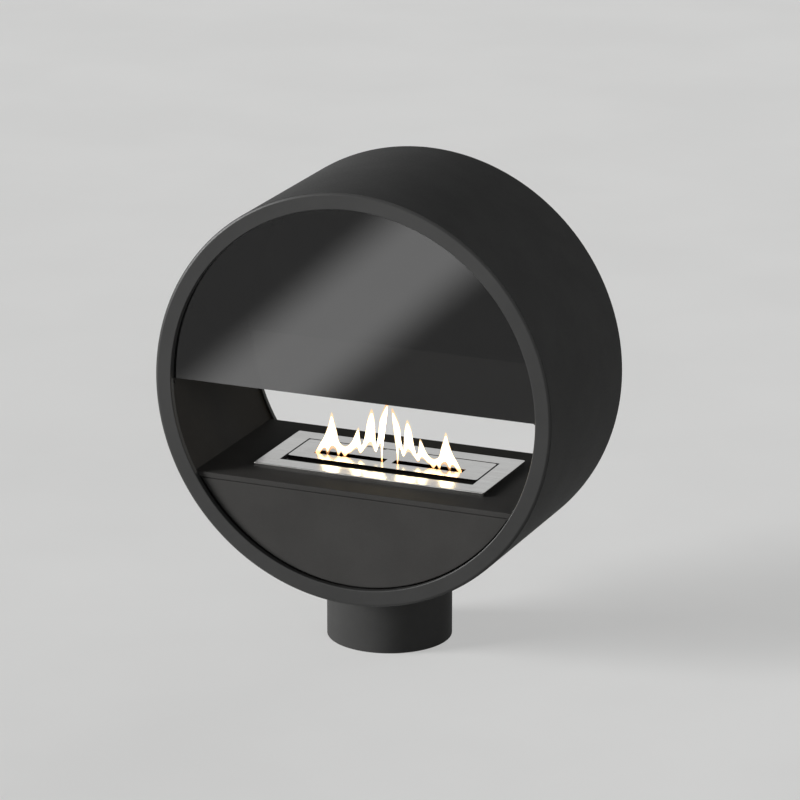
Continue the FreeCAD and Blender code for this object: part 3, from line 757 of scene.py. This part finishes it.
class DRUM_OT_fittings(bpy.types.Operator):
    """Finish the panes, the deck and the fittings that keep their CAD shape."""
    bl_idname = "drum_fire.fittings"
    bl_label = "Glass, Deck and Fittings"

    def execute(self, context):
        dress(finish_called("pane_glass"), "front_pane", "rear_pane")
        dress(finish_called("sealing_tape"), "front_pane_gasket", "rear_pane_gasket", "floor_pads")
        dress(finish_called("hearth_coat"), "hearth_deck", "pane_clips", "pane_rests", "pane_screws",
              "panel_tabs")
        dress(finish_called("lid_steel"), "slide_lid")
        dress(finish_called("tank_steel"), "fuel_tank")
        dress(finish_called("fired_steel"), "burner_plate", "lid_guides")
        dress(finish_called("zinc_plate"), "left_deck_rail", "right_deck_rail", "rear_panel_bosses",
              "rear_panel_screws", "saddle_flange", "drum_bolts", "wall_spacers", "weld_nuts", "base_plate")
        dress(finish_called("nickel_plate"), "panel_magnets")
        dress(finish_called("ceramic_wool"), "fibre_pad", "wall_insulation")
        return {"FINISHED"}


def add_light(name, place, angle, strength, mirrored=True):
    """Soft even light from the side on which a place lies; the angle is how broad it looks."""
    data = bpy.data.lights.new(name, "SUN")
    data.angle = math.radians(angle)
    data.energy = strength
    lamp = bpy.data.objects.new(name, data)
    lamp.location = place
    lamp.rotation_mode = "QUATERNION"
    lamp.rotation_quaternion = (-Vector(place)).to_track_quat("-Z", "Y")
    lamp.visible_glossy = mirrored
    bpy.context.scene.collection.objects.link(lamp)


def add_strip_box(centre, length, width, tilt, strength):
    """Long soft strip light in front of the panes, brightest along its middle and seen only in gloss."""
    along = np.array([math.cos(tilt), 0, math.sin(tilt)]) * length / 2
    across = np.array([-math.sin(tilt), 0, math.cos(tilt)]) * width / 2
    low, high = np.array(centre) - along, np.array(centre) + along
    corners = [low - across, low + across, high + across, high - across]
    mesh = bpy.data.meshes.new("strip_box")
    mesh.from_pydata([corner.tolist() for corner in corners], [], [(0, 1, 2, 3)])
    mesh.uv_layers.new(name="strip").data.foreach_set("uv", [0, 0, 0, 1, 1, 1, 1, 0])
    material = bpy.data.materials.new("strip_light")
    material.use_nodes = True
    tree = material.node_tree
    tree.nodes.clear()
    across_it = add_node(tree, "ShaderNodeSeparateXYZ",
                         {"Vector": add_node(tree, "ShaderNodeTexCoord").outputs["UV"]}).outputs["Y"]
    dark, lit = (0.0, 0.0, 0.0), (1.0, 1.0, 1.0)
    glow = shades(tree, across_it, [(0.0, dark), (0.38, lit), (0.62, lit), (1.0, dark)])
    emission = add_node(tree, "ShaderNodeEmission", {"Color": glow}, {"Strength": strength})
    both = add_node(tree, "ShaderNodeAddShader")
    tree.links.new(emission.outputs["Emission"], both.inputs[0])
    tree.links.new(add_node(tree, "ShaderNodeBsdfTransparent").outputs["BSDF"], both.inputs[1])
    add_node(tree, "ShaderNodeOutputMaterial", {"Surface": both.outputs["Shader"]})
    mesh.materials.append(material)
    strip = bpy.data.objects.new("strip_box", mesh)
    strip.visible_camera = False
    strip.visible_shadow = False
    strip.visible_diffuse = False
    bpy.context.scene.collection.objects.link(strip)


def seen_rays(tree, off_gloss):
    """Share of the background that a ray shows: all of it straight or through glass, less off a gloss."""
    rays = add_node(tree, "ShaderNodeLightPath").outputs
    direct = add_node(tree, "ShaderNodeMath", operation="MAXIMUM")
    tree.links.new(rays["Is Camera Ray"], direct.inputs[0])
    tree.links.new(rays["Is Transmission Ray"], direct.inputs[1])
    every = add_node(tree, "ShaderNodeMath", operation="MULTIPLY_ADD", use_clamp=True)
    tree.links.new(rays["Is Glossy Ray"], every.inputs[0])
    every.inputs[1].default_value = off_gloss
    tree.links.new(direct.outputs[0], every.inputs[2])
    return every.outputs[0]


def floor_finish(colour, own_light):
    """Pale matt floor with a faint cloud. Part of its paleness is its own, for seen rays only."""
    material, tree, shader = new_finish("studio_floor")
    cloud = noise(tree, object_place(tree), scale=1.5, detail=3.0)
    tone = shades(tree, cloud, [(0.3, tinted(colour, 0.985)), (0.7, tinted(colour, 1.015))])
    tree.links.new(tone, shader.inputs["Base Color"])
    tree.links.new(tone, shader.inputs["Emission Color"])
    level = add_node(tree, "ShaderNodeMath", operation="MULTIPLY")
    tree.links.new(seen_rays(tree, off_gloss=0.85), level.inputs[0])
    level.inputs[1].default_value = own_light
    tree.links.new(level.outputs[0], shader.inputs["Emission Strength"])
    shader.inputs["Roughness"].default_value = 0.9
    shader.inputs["Specular IOR Level"].default_value = 0.1
    return material


def add_world(seen, lit):
    """Pale surroundings: one level for what is seen of them, another for the light they give."""
    world = bpy.data.worlds.new("studio")
    world.use_nodes = True
    tree = world.node_tree
    background = tree.nodes["Background"]
    background.inputs["Color"].default_value = (0.98, 0.99, 1.0, 1.0)
    level = add_node(tree, "ShaderNodeMapRange", {"Value": seen_rays(tree, off_gloss=1.0)},
                     {"To Min": lit, "To Max": seen})
    tree.links.new(level.outputs["Result"], background.inputs["Strength"])
    return world


class DRUM_OT_stage(bpy.types.Operator):
    """Set the pale floor, the studio light and the camera."""
    bl_idname = "drum_fire.stage"
    bl_label = "Studio"

    def execute(self, context):
        _, colours = settings()
        scene = context.scene
        mesh = bpy.data.meshes.new("studio_floor")
        half = FLOOR_HALF
        mesh.from_pydata([(-half, -half, 0), (half, -half, 0), (half, half, 0), (-half, half, 0)], [],
                         [(0, 1, 2, 3)])
        mesh.materials.append(floor_finish(colours.floor, own_light=1.05))
        floor = bpy.data.objects.new("studio_floor", mesh)
        scene.collection.objects.link(floor)
        scene.world = add_world(seen=0.6, lit=0.07)
        add_light("key_light", (-4.66, -2.91, 1.1), angle=26.0, strength=4.9)
        add_light("fill_light", (3.0, -2.0, 0.8), angle=27.0, strength=0.52)
        add_light("back_light", (0.9, 4.0, 0.7), angle=60.0, strength=0.85, mirrored=False)
        add_strip_box((-0.452, -1.25, 0.445), length=1.05, width=0.34, tilt=math.radians(42.4), strength=2.65)
        camera = bpy.data.objects.new("camera", bpy.data.cameras.new("camera"))
        camera.data.lens = CAMERA_LENS
        camera.data.sensor_width = 36.0
        camera.data.clip_end = 100.0
        level = math.cos(CAMERA_HEIGHT)
        back = Vector((math.sin(CAMERA_AZIMUTH) * level, -math.cos(CAMERA_AZIMUTH) * level,
                       math.sin(CAMERA_HEIGHT)))
        camera.location = Vector(CAMERA_TARGET) + back * CAMERA_DISTANCE
        camera.rotation_mode = "QUATERNION"
        camera.rotation_quaternion = (-back).to_track_quat("-Z", "Y")
        scene.collection.objects.link(camera)
        scene.camera = camera
        scene.view_settings.view_transform = "Standard"
        return {"FINISHED"}


STEPS = (DRUM_OT_finishes, DRUM_OT_drum, DRUM_OT_rims, DRUM_OT_pedestal, DRUM_OT_panels, DRUM_OT_tray,
         DRUM_OT_flames, DRUM_OT_fittings, DRUM_OT_stage)


class DRUM_PT_pieces(bpy.types.Panel):
    """Lists the steps that build the fireplace, with its sizes and colours."""
    bl_idname = "DRUM_PT_pieces"
    bl_label = "Drum Fireplace"
    bl_space_type = "VIEW_3D"
    bl_region_type = "UI"
    bl_category = "Drum Fireplace"

    def draw(self, context):
        for step in STEPS:
            self.layout.operator(step.bl_idname)
        for group in (context.scene.drum_sizes, context.scene.drum_colours):
            box = self.layout.box()
            for name in group.__annotations__:
                box.prop(group, name)


CLASSES = (DrumSizes, DrumColours, *STEPS, DRUM_PT_pieces)


def register():
    """Adds the classes, and their settings to the scene."""
    for each in CLASSES:
        bpy.utils.register_class(each)
    bpy.types.Scene.drum_sizes = PointerProperty(type=DrumSizes)
    bpy.types.Scene.drum_colours = PointerProperty(type=DrumColours)


def unregister():
    """Takes the settings and the classes away again."""
    del bpy.types.Scene.drum_colours
    del bpy.types.Scene.drum_sizes
    for each in reversed(CLASSES):
        bpy.utils.unregister_class(each)


def main():
    register()
    for step in STEPS:
        group, name = step.bl_idname.split(".")
        getattr(getattr(bpy.ops, group), name)()


if __name__ == "__main__":
    main()
